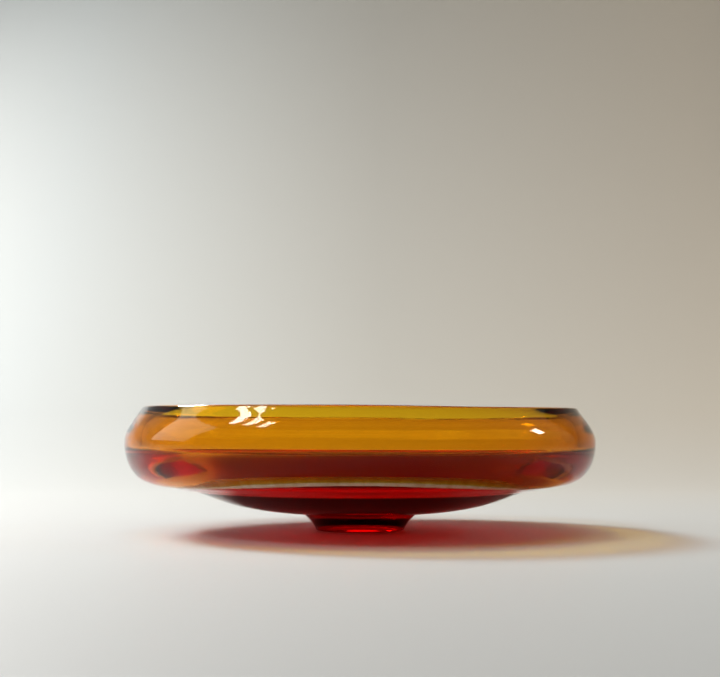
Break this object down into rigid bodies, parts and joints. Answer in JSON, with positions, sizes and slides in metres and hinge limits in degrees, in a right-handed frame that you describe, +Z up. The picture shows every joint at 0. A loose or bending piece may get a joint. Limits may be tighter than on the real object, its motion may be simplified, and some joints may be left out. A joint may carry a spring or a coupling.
{
  "type": "art glass bowl",
  "caption": "Wide low cased-glass bowl: thick clear body lined amber up the wall and ruby over the floor, fine cream thread between, small ruby foot.",
  "frame": {"origin": "middle of the foot's flat underside, on the axis of symmetry", "axes": "+Z up along the axis of symmetry, out of the bowl's mouth; X and Y are any two level directions"},
  "size_m": [0.3, 0.3, 0.079],
  "materials": {
    "amber_glass": "transparent amber glass, fire-polished, with faint turning marks",
    "clear_glass": "clear glass, fire-polished, with faint turning marks",
    "cream_glass": "milky cream glass, nearly opaque, under the clear surface",
    "ruby_glass": "deep ruby glass, fire-polished, ground flat under the foot"
  },
  "bodies": {
    "root": {"clear_casing": "clear_glass", "amber_lining": "amber_glass", "cream_thread": "cream_glass", "ruby_lining": "ruby_glass", "ruby_foot": "ruby_glass"}
  },
  "joints": []
}
